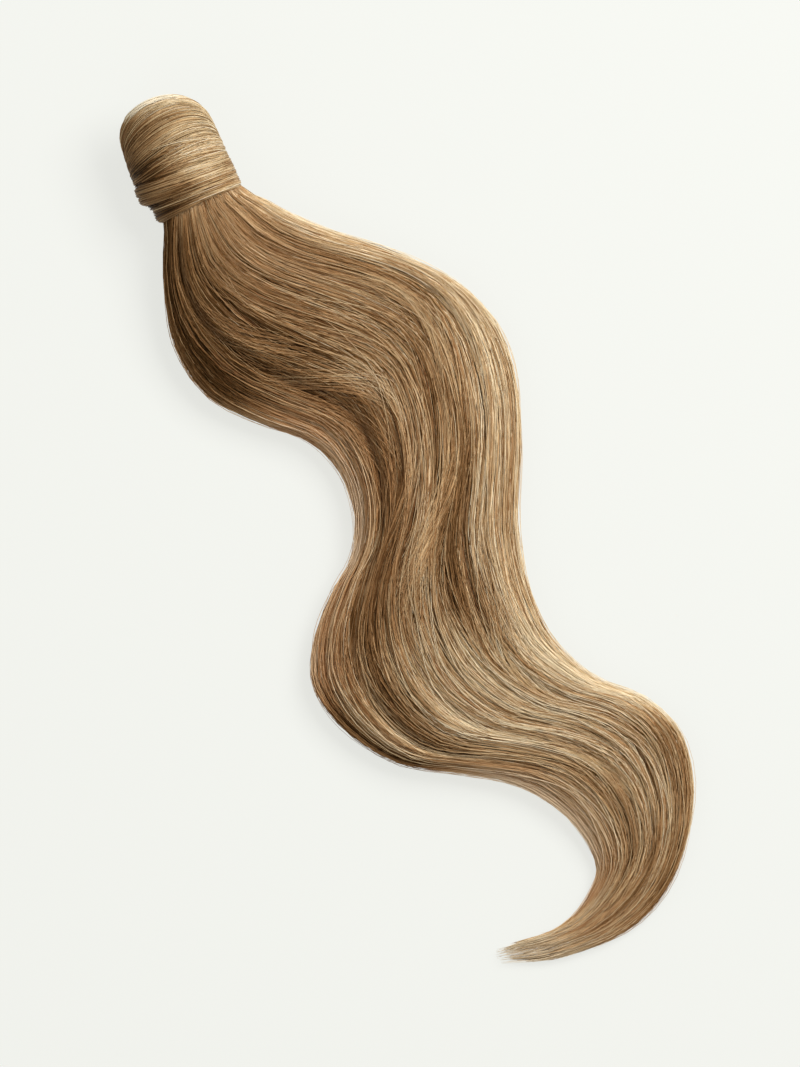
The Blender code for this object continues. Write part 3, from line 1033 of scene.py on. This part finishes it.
    def crossings(self) -> None:
        """Lay small flat locks that leave their lane and cross the ones beside them."""
        dice = np.random.default_rng(self.seed + 5)
        strands = []
        for lock in CROSSINGS:
            for _ in range(lock.count):
                start = lock.start + dice.normal(0, self.crossing_spread)
                end = lock.end + dice.normal(0, self.crossing_spread)
                travel = stretch(start, end, 0.4, 6)
                share = np.linspace(0, 1, len(travel))
                aside = dice.normal(0, lock.spread)
                lane = lock.lane + (lock.to_lane - lock.lane) * smooth(share) + aside
                angle = np.arccos(-np.clip(lane, -0.98, 0.98)) + Wander(0.012, 2, 5).draw(dice, travel)
                lift = dice.uniform(*self.crossing_lift) - self.crossing_dive * np.abs(2 * share - 1) ** 4
                tone = lock.tone + dice.normal(0, self.crossing_tone)
                strands.append(self.strand(dice, travel, angle, lift, dice.uniform(*self.fine_radius), tone))
        self.join("tail_crossing_strands", strands)

    def fringe(self) -> None:
        """Lay very thin strands along both edges, which soften the outline."""
        dice = np.random.default_rng(self.seed + 4)
        kind = self.fringe_hairs
        low, high = kind.lift
        strands = []
        for number in range(kind.count):
            edge = Edge.LEFT if number % 2 else Edge.RIGHT
            start = dice.uniform(*kind.start)
            travel = stretch(start, min(start + dice.uniform(*kind.length), self.form.length - 0.3))
            angle = edge.value + dice.normal(0, 0.16) + Wander(0.05, 2, 6).draw(dice, travel)
            lift = dice.normal((low + high) / 2, (high - low) / 2) + Wander(0.5, 2, 5).draw(dice, travel)
            tone = dice.normal(kind.tone, kind.tone_spread)
            strands.append(self.strand(dice, travel, angle, lift, dice.uniform(*kind.radius), tone, 0.1))
        self.join("tail_fringe_strands", strands)

    def flyaways(self) -> None:
        """Add the fine loose hairs: along both outlines, across the top, and past the tip."""
        dice = np.random.default_rng(self.seed + 2)
        strands = []
        # These outline hairs are paler by their tone: painted light shining through them.
        kind = self.edge_hairs
        for number in range(kind.count):
            edge = Edge.LEFT if number % 2 else Edge.RIGHT
            travel = kind.begin(dice, 21.5)
            share = np.linspace(0, 1, len(travel))
            inward = 1 if edge is Edge.LEFT else -1
            angle = edge.value + inward * dice.uniform(0.0, 0.35) + Wander(0.03, 3, 8).draw(dice, travel)
            lift = dice.uniform(*kind.lift) * np.sin(math.pi * share) ** 1.5 - 0.6
            strands.append(self.strand(dice, travel, angle, lift, dice.uniform(*kind.radius), kind.tone))
        kind = self.top_hairs
        for _ in range(kind.count):
            travel = kind.begin(dice, 21)
            share = np.linspace(-0.5, 0.5, len(travel))
            across = dice.uniform(0.5, 2.6) + dice.normal(0, 0.22) * share
            angle = across + Wander(0.02, 2, 5).draw(dice, travel)
            lift = kind.lift[0] + (kind.lift[1] - kind.lift[0]) * np.cos(math.pi * share)
            strands.append(self.strand(dice, travel, angle, lift, dice.uniform(*kind.radius), kind.tone))
        kind = self.wisps
        for _ in range(kind.count):
            # A wisp's length is counted from the tip.
            start = dice.uniform(*kind.start)
            travel = np.linspace(start, self.form.length + dice.uniform(*kind.length), kind.steps + 1)
            share = np.linspace(0, 1, len(travel))
            angle = math.acos(-dice.uniform(-1, 1)) + Wander(0.05, 2, 5).draw(dice, travel)
            lift = dice.uniform(*kind.lift) + dice.normal(0, 1.3) * share ** 3
            tone = dice.normal(kind.tone, kind.tone_spread) + 0.2 * smooth((travel - 20) / 2)
            strands.append(self.strand(dice, travel, angle, lift, dice.uniform(*kind.radius), tone))
        self.join("tail_flyaways", strands)

    def build(self) -> None:
        """Build the whole tail."""
        self.body()
        self.strands()
        self.underside()
        self.loose()
        self.crossings()
        self.fringe()
        self.flyaways()


@dataclass(frozen=True)
class Ring:
    """A ring of the winding: y, its oval's middle x and half sizes, and its plane's tilt up and aside."""

    y: float
    x: float
    wide: float
    tall: float
    lean: float = 0.0
    twist: float = 0.0


@dataclass
class WindingForm(Surface):
    """The surface of one wound piece, over a station along its profile and an angle round it."""

    reach: ClassVar[float] = 0.05
    rings: list[Ring]

    @property
    def table(self) -> Array:
        """The rings as rows of numbers."""
        return np.array([astuple(ring) for ring in self.rings])

    def point(self, station: Array, angle: Array) -> Array:
        """Find the place of the surface.

        Args:
            station: The ring's number, with fractions between rings.
            angle: 0 at +X, a quarter turn on top.

        Returns:
            Points in millimetres from the seam point.
        """
        rows = self.table
        held = np.clip(station, 0, len(rows) - 1)
        y, x, wide, tall, lean, twist = (
            np.interp(held, np.arange(len(rows)), column) for column in rows.T
        )
        aside = wide * np.cos(angle)
        up = tall * np.sin(angle)
        return np.stack([x + aside, y + lean * up + twist * aside, WINDING_HEIGHT + up], -1)


@dataclass(frozen=True)
class Wind:
    """How strands are wound.

    It holds their number, first and last station, slant, fan to the left, height, dive at their ends and
    tone, and the angles that they reach between, or None for turns that begin anywhere.
    """

    count: int
    low: float
    high: float
    seed: int
    slant: float = 1.4
    fan: float = 0.0
    lift: float = -0.3
    dive: float = 1.2
    tone: float = 0.0
    reach: Pair | None = None


@dataclass(frozen=True)
class WoundPatch:
    """A lighter or darker place on the winding, seen from above: its middle, its half sizes and its tone."""

    x: float
    y: float
    wide: float
    tall: float
    tone: float


# Lighter and darker places on the winding, seen from above: painted shade on the left and on the lower bands,
# a painted highlight along the rim, and some of the hair's own paler and darker places.
WOUND_PAINTED_LIGHT_AND_TONE = tuple(WoundPatch(*row) for row in (
    (-16.0, 21.0, 9.0, 6.5, -0.20),
    (-8.0, 24.5, 8.0, 4.0, -0.08),
    (-23.0, 28.0, 5.0, 8.0, -0.14),
    (-5.0, 6.5, 7.0, 2.2, -0.22),
    (-12.0, -0.5, 10.0, 2.2, -0.16),
    (17.0, 7.5, 5.0, 4.5, -0.16),
    (-19.0, 11.0, 6.0, 3.0, 0.08),
    (-9.0, 46.0, 12.0, 2.8, 0.22),
    (-9.0, 38.0, 9.0, 2.4, -0.05),
    (3.0, 0.5, 17.0, 4.4, -0.22),
    (10.0, 20.0, 9.0, 4.5, -0.12),
    (4.0, 38.0, 5.0, 3.0, -0.18),
    (8.0, 4.0, 12.0, 2.4, -0.08),
    (-17.0, 27.0, 10.0, 4.5, 0.20),
))


@dataclass
class Winding:
    """The wound head: the main lock with its slanted mouth and hollow, the middle band and the last band.

    An oval is its middle x, its half width and its half height, and an edge is its y and its twist. Tones
    fall from the right, where the hair is palest with painted light, to the left, which is darker with
    painted shade.
    """

    finish: bpy.types.Material
    body_finish: bpy.types.Material
    seed: int = 41
    around: int = 96
    step: float = 0.14
    radius: Pair = (0.12, 0.2)
    turn: Pair = (1.1, 2.0)
    depth: float = 0.3
    start_spread: float = 0.25
    end_spread: float = 0.35
    wave: float = 0.09
    ripple: float = 0.12
    tone_spread: float = 0.11
    pale_share: float = 0.1
    paler: float = 0.16
    dark_share: float = 0.14
    darker: float = 0.2
    copper_share: float = 0.06
    copper: Pair = (0.1, 0.35)
    lit_right_tone: float = 0.76
    painted_shade_fall: float = 0.34
    fall_middle: float = -5.0
    fall_width: float = 26.0
    painted_body_shade: float = 0.16
    mouth_y: float = 37.1
    mouth_lean: float = 0.72
    mouth_twist: float = -0.062
    rim_depth: float = 7.0
    rim_inset: float = 4.5
    rim_degrees: tuple[int, ...] = (15, 30, 45, 60, 75, 90)
    inner_rim: float = 1.3
    inner_degrees: tuple[int, ...] = (90, 60, 30, 0)
    lock_steps: int = 12
    hollow_steps: int = 8
    band_steps: int = 8
    band_bulge: float = 1.9
    seam: Pair = (3.0, -0.12)
    band_top: Pair = (14.0, -0.09)
    end_bottom: Pair = (-2.8, 0.055)
    plug_top: float = 9.0
    gap: float = 0.35
    inset: float = 0.9
    hollow_inset: float = 0.6
    taper: float = 0.85
    lock: Oval = (-3.2, 22.2, 20.0)
    under_band: Oval = (-3.2, 19.0, 17.1)
    hollow: Oval = (-3.2, 14.6, 13.2)
    band: Oval = (-3.6, 22.9, 20.0)
    end: Oval = (-1.7, 21.0, 19.4)
    shoulder: Oval = (-1.7, 17.4, 15.8)
    crease_low: Oval = (-2.6, 20.4, 18.3)
    crease_high: Oval = (-3.3, 22.4, 20.1)
    crease_heights: tuple[Pair, ...] = ((-1.0, 0.0), (3.0, 0.2), (7.0, 0.5), (11.0, 0.8), (16.0, 1.0))
    sweep_heights: Pair = (-2.0, 23.0)
    sweep_pitch: float = 2.0

    def ring(self, y: float, oval: Oval, by: float, lean: float, twist: float) -> Ring:
        """Make a ring on an oval that is grown by some millimetres."""
        return Ring(y, oval[0], oval[1] + by, oval[2] + by, lean, twist)

    def lock_ring(self, y: float, share: float, by: float, lean: float, twist: float) -> Ring:
        """Make a ring of the main lock, which narrows a little on its left towards the mouth."""
        narrow = self.taper * share ** 1.5
        x, wide, tall = self.lock
        return Ring(y, x + 0.8 * narrow, wide + by - narrow, tall + by, lean, twist)

    def outer_rings(self, inset: float = 0.0) -> list[Ring]:
        """The visible outside of the main lock, from the band to its rounded rim, drawn in a little."""
        rings = []
        start = self.band_top[0] + 2 * self.gap
        for step in range(self.lock_steps + 1):
            share = step / self.lock_steps
            y = start + (self.mouth_y - self.rim_depth - start) * share
            twist = self.band_top[1] + (self.mouth_twist - self.band_top[1]) * share
            rings.append(self.lock_ring(y, share, -inset, self.mouth_lean * share, twist))
        for degrees in self.rim_degrees:
            turned = math.radians(degrees)
            y = self.mouth_y - self.rim_depth * (1 - math.sin(turned)) - inset * math.sin(turned)
            by = -self.rim_inset * (1 - math.cos(turned)) - inset * math.cos(turned)
            rings.append(self.lock_ring(y, 1.0, by, self.mouth_lean, self.mouth_twist))
        return rings

    def inner_rings(self, inset: float = 0.0) -> list[Ring]:
        """The inside of the main lock, from the rim to the bottom of the hollow, drawn into the wall."""
        rings = []
        for degrees in self.inner_degrees:
            turned = math.radians(degrees)
            y = self.mouth_y - self.inner_rim * (1 - math.sin(turned)) - inset * math.sin(turned)
            by = self.inner_rim * (1 - math.cos(turned)) + inset * math.cos(turned)
            rings.append(self.ring(y, self.hollow, by, self.mouth_lean, self.mouth_twist))
        bottom = self.plug_top + self.gap
        for step in range(1, self.hollow_steps + 1):
            share = step / self.hollow_steps
            y = self.mouth_y - self.inner_rim + (bottom - self.mouth_y + self.inner_rim) * share
            left = 1 - share
            rings.append(self.ring(y, self.hollow, inset, self.mouth_lean * left, self.mouth_twist * left))
        return rings

    def body(self, name: str, rings: list[Ring]) -> None:
        """Build one closed body of wound hair, darker than the strands over it with painted shade.

        Args:
            name: The piece's name; the CAD node that it stands for has the same name without "_body".
            rings: Its profile, all the way round.
        """
        station, angle = np.meshgrid(
            np.arange(len(rings), dtype=float),
            2 * math.pi * np.arange(self.around) / self.around,
            indexing="ij",
        )
        skin = WindingForm(rings).point(station, angle)
        # The body is drawn darker than the strands over it: painted shade.
        mesh = drawn_tube(name, skin, self.tone(skin) - self.painted_body_shade, closed=True)
        mesh.materials.append(self.body_finish)
        show(name, mesh, "wrap_hair_fibre", name.removesuffix("_body"))

    def tone(self, path: Array) -> Array:
        """How light the wound hair is drawn: pale on the right with painted light and at the rim with a
        painted highlight, brown on the left with painted shade.

        Args:
            path: Places in millimetres from the seam point.

        Returns:
            The tone at each place.
        """
        x, y = path[..., 0], path[..., 1]
        # The fall from the pale right to the brown left is painted light and painted shade.
        shade = self.lit_right_tone - self.painted_shade_fall * smooth(0.5 - (x - self.fall_middle) / self.fall_width)
        for patch in WOUND_PAINTED_LIGHT_AND_TONE:
            away = ((x - patch.x) / patch.wide) ** 2 + ((y - patch.y) / patch.tall) ** 2
            shade = shade + patch.tone * np.exp(-away)
        return shade

    def turns(self, name: str, form: WindingForm, wind: Wind) -> None:
        """Wind strands round a form.

        Args:
            name: The piece's name.
            form: The surface that they lie on.
            wind: How they lie.
        """
        dice = np.random.default_rng(wind.seed)
        strands = []
        for number in range(wind.count):
            share = (number + dice.uniform(-0.5, 0.5)) / wind.count
            if wind.reach is None:
                span = dice.uniform(*self.turn) * math.pi
                start = dice.uniform(0, 2 * math.pi)
            else:
                start = wind.reach[0] + dice.normal(0, self.start_spread)
                span = wind.reach[1] + dice.normal(0, self.end_spread) - start
            steps = max(10, round(span / self.step))
            angle = np.linspace(start, start + span, steps + 1)
            run = np.linspace(0, 1, steps + 1)
            slanted = wind.slant * dice.normal(0, 0.5) * (run - 0.5)
            station = wind.low + (wind.high - wind.low) * share + slanted
            station = station + wind.fan * (1 - share ** 2) * np.cos(angle)
            station = station + self.wave * np.sin(angle * dice.integers(1, 3) + dice.uniform(0, 6))
            station = np.clip(station, 0, len(form.rings) - 1)
            height = dice.uniform(-self.depth, self.depth) + wind.lift
            height = height + self.ripple * np.sin(2 * angle + dice.uniform(0, 6))
            height = height - wind.dive * (2 - smooth(run * 5) - smooth((1 - run) * 5))
            radius = dice.uniform(*self.radius)
            path, out = form.frame(station, angle, height)
            path[:, 2] = np.maximum(path[:, 2], radius + CLEARANCE)
            kind = dice.uniform()
            stray = self.paler * (kind > 1 - self.pale_share) - self.darker * (kind < self.dark_share)
            extra = wind.tone + dice.normal(0, self.tone_spread) + stray
            copper = dice.uniform(*self.copper) if dice.uniform() < self.copper_share else 0.0
            thick, red = np.full(steps + 1, radius), np.full(steps + 1, copper)
            strands.append(Strand(path, out, thick, self.tone(path) + extra, red))
        StrandMesh(name, "wrap_hair_fibre", strands).build(self.finish)

    def flat_band(self, bottom: Pair, top: Pair, inner: Oval, outer: Oval, inset: float = 0.0) -> list[Ring]:
        """The profile of a band: up its outside in a flattened arc, then its inner edge rings.

        Args:
            bottom: The lower edge's y and twist.
            top: The upper edge's y and twist.
            inner: The oval that it lies on.
            outer: Its outermost oval.
            inset: How far its outside is drawn in.

        Returns:
            The rings, the outside first.
        """
        rings = []
        for step in range(self.band_steps + 1):
            share = step / self.band_steps
            bulge = (1 - abs(2 * share - 1) ** 4.0) ** 0.5
            y = bottom[0] + (top[0] - bottom[0]) * share
            twist = bottom[1] + (top[1] - bottom[1]) * share
            rings.append(self.ring(y, outer, -self.band_bulge * (1 - bulge) - inset, 0.0, twist))
        rings.append(self.ring(top[0], inner, self.gap, 0.0, top[1]))
        rings.append(self.ring(bottom[0], inner, self.gap, 0.0, bottom[1]))
        return rings

    def crease_rings(self) -> list[Ring]:
        """The surface under the bands' edges, whose strands fill the creases between them."""
        rings = []
        for y, share in self.crease_heights:
            low, high = np.array(self.crease_low), np.array(self.crease_high)
            x, wide, tall = low + (high - low) * share
            rings.append(Ring(y, x, wide, tall, 0.0, -0.1))
        return rings

    def sweep_rings(self) -> list[Ring]:
        """The surface of the long turns that sweep over the bands and the lock on the upper side."""
        x, wide, tall = self.crease_high
        rings = []
        for y in np.arange(*self.sweep_heights, self.sweep_pitch):
            narrow = 0.4 * smooth((y - 12) / 4) + 0.25 * max(0.0, 1 - y) ** 1.3
            lean = self.mouth_lean * max(0.0, y - 14) / 19
            rings.append(Ring(y, x, wide - narrow, tall, lean, self.band_top[1]))
        return rings

    def build(self) -> None:
        """Build the wound head."""
        seam_y, seam_twist = self.seam
        under = [
            self.ring(seam_y + self.gap, self.hollow, 0.0, 0.0, seam_twist),
            self.ring(seam_y + self.gap, self.under_band, 0.0, 0.0, seam_twist),
            self.ring(self.band_top[0] + self.gap, self.under_band, 0.0, 0.0, self.band_top[1]),
        ]
        lock = self.outer_rings(self.inset) + self.inner_rings(self.hollow_inset) + under
        band_edges = ((seam_y + self.gap, seam_twist), self.band_top, self.under_band, self.band)
        end_edges = (self.end_bottom, (seam_y - self.gap, seam_twist), self.shoulder, self.end)
        self.body("wrap_lock_body", lock)
        self.body("wrap_band_body", self.flat_band(*band_edges, self.inset))
        self.body("wrap_end_body", self.flat_band(*end_edges, self.inset))
        outer = WindingForm(self.outer_rings())
        band = WindingForm(self.flat_band(*band_edges)[:self.band_steps + 1])
        end = WindingForm(self.flat_band(*end_edges)[:self.band_steps + 1])
        last = len(outer.rings) - 1.0
        top = float(self.band_steps)
        first = self.seed
        self.turns("wrap_lock_strands", outer, Wind(330, 0.0, last, first, 1.6, 2.0))
        self.turns("wrap_band_strands", band, Wind(150, 0.0, top, first + 1))
        self.turns("wrap_end_strands", end, Wind(100, 0.0, top, first + 2, tone=-0.04))
        self.turns("wrap_sweep_strands", WindingForm(self.sweep_rings()), Wind(
            260, 0.1, 11.8, first + 4, fan=0.5, lift=-0.15, dive=1.8, reach=(-0.8, 1.9),
        ))
        # The crease strands are darker by their tone: painted shade in the creases between the bands.
        self.turns("wrap_crease_strands", WindingForm(self.crease_rings()), Wind(
            90, 0.6, 3.7, first + 6, 0.5, dive=0.2, tone=-0.12,
        ))
        # The rim strands are much paler by their tone: a painted highlight along the rounded rim.
        self.turns("wrap_rim_strands", outer, Wind(
            20, last - 4.6, last - 2.4, first + 5, 0.5, lift=0.2, tone=0.36, reach=(1.15, 2.4),
        ))
        # The hollow's strands are darker by their tone: painted shade inside the hollow.
        self.turns("hollow_strands", WindingForm(self.inner_rings()), Wind(
            110, 0.5, 11.5, first + 3, 0.8, tone=-0.12,
        ))


@dataclass
class Studio:
    """A pale table, soft lights and a camera straight above.

    Each light is given by its place to the picture's right, towards its top and above the table, its width
    and its power, in metres and watts.
    """

    pixel_mm: float = 0.45
    picture_rows: int = 1067
    turn_degrees: float = -24.0
    aim: Pair = (-7.7, -10.0)
    aim_height: float = 10.0
    lens: float = 600.0
    sensor: float = 36.0
    table_colour: str = "#686966"
    glow_colour: str = "#f2f3ee"
    glow: float = 0.80
    table_size: float = 4.0
    key: tuple[float, ...] = (0.75, 0.75, 1.35, 0.9, 36.0)
    fill: tuple[float, ...] = (-0.9, -0.5, 1.3, 1.2, 3.0)
    sky: float = 0.45
    sky_colour: str = "#fbfaf7"

    def table(self) -> None:
        """Lay the table that the hairpiece rests on."""
        bm = bmesh.new()
        bmesh.ops.create_grid(bm, x_segments=1, y_segments=1, size=self.table_size)
        mesh = bpy.data.meshes.new("table")
        bm.to_mesh(mesh)
        bm.free()
        paper, _, _ = material("matt_paper", {
            "Base Color": linear(self.table_colour), "Roughness": 0.9, "Specular IOR Level": 0.1,
            "Emission Color": linear(self.glow_colour), "Emission Strength": self.glow,
        })
        mesh.materials.append(paper)
        table = bpy.data.objects.new("table", mesh)
        bpy.context.scene.collection.objects.link(table)

    def lights(self) -> None:
        """Light the table: a large key from the picture's upper right, a weak fill and an even sky."""
        turned = math.radians(self.turn_degrees)
        right = Vector((math.cos(turned), math.sin(turned), 0))
        up = Vector((-math.sin(turned), math.cos(turned), 0))
        for name, (aside, ahead, height, size, power) in (("key", self.key), ("fill", self.fill)):
            place = right * aside + up * ahead + Vector((0, 0, height))
            data = bpy.data.lights.new(name, "AREA")
            data.size = size
            data.energy = power
            lamp = bpy.data.objects.new(name, data)
            lamp.location = place
            lamp.rotation_euler = (-place).to_track_quat("-Z", "Y").to_euler()
            bpy.context.scene.collection.objects.link(lamp)
        world = bpy.data.worlds.new("sky")
        world.use_nodes = True
        back = world.node_tree.nodes["Background"]
        back.inputs["Color"].default_value = linear(self.sky_colour)
        back.inputs["Strength"].default_value = self.sky
        bpy.context.scene.world = world

    def camera(self) -> None:
        """Hang the camera straight above, turned as the picture is."""
        data = bpy.data.cameras.new("camera")
        data.lens = self.lens
        data.sensor_width = self.sensor
        distance = self.picture_rows * self.pixel_mm * self.lens / self.sensor
        data.clip_end = 2 * distance * MM
        camera = bpy.data.objects.new("camera", data)
        camera.location = (self.aim[0] * MM, self.aim[1] * MM, (self.aim_height + distance) * MM)
        camera.rotation_euler = Euler((0, 0, math.radians(self.turn_degrees)))
        bpy.context.scene.collection.objects.link(camera)
        bpy.context.scene.camera = camera

    def build(self) -> None:
        """Set up the studio."""
        self.table()
        self.lights()
        self.camera()
        bpy.context.scene.view_settings.view_transform = "Standard"


def main() -> None:
    """Build and dress the hairpiece, and log each piece's triangles."""
    logging.basicConfig(level=logging.INFO, format="%(message)s")
    strands = HairFinish("blond_hair_strands", (400.0, 600.0), (8.0, 0.2)).make()
    body = HairFinish("blond_hair_mass", (490.0, 252.0), (24.5, 0.6), 0.2, 0.5, 0.25).make()
    ash = ("#2a1b0d", "#664727", "#a58259", "#ccb48b", "#ebe0c8")
    wound = HairFinish("wound_hair_mass", (120.0, 132.0), (0.75, 44.0), 0.2, 0.5, 0.2, ash).make()
    turns = HairFinish("wound_hair_strands", (100.0, 330.0), (5.0, 0.165), tones=ash, gloss="#e4cda0").make()
    comb = PlasticFinish("moulded_comb_acrylic", "#3d2818", "#4b3420").make()
    Studio().build()
    Tail(TailForm(), strands, body).build()
    Winding(turns, wound).build()
    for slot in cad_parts["comb"].material_slots:
        slot.material = comb
    LOG.info("comb: carried over")


if __name__ == "__main__":
    main()
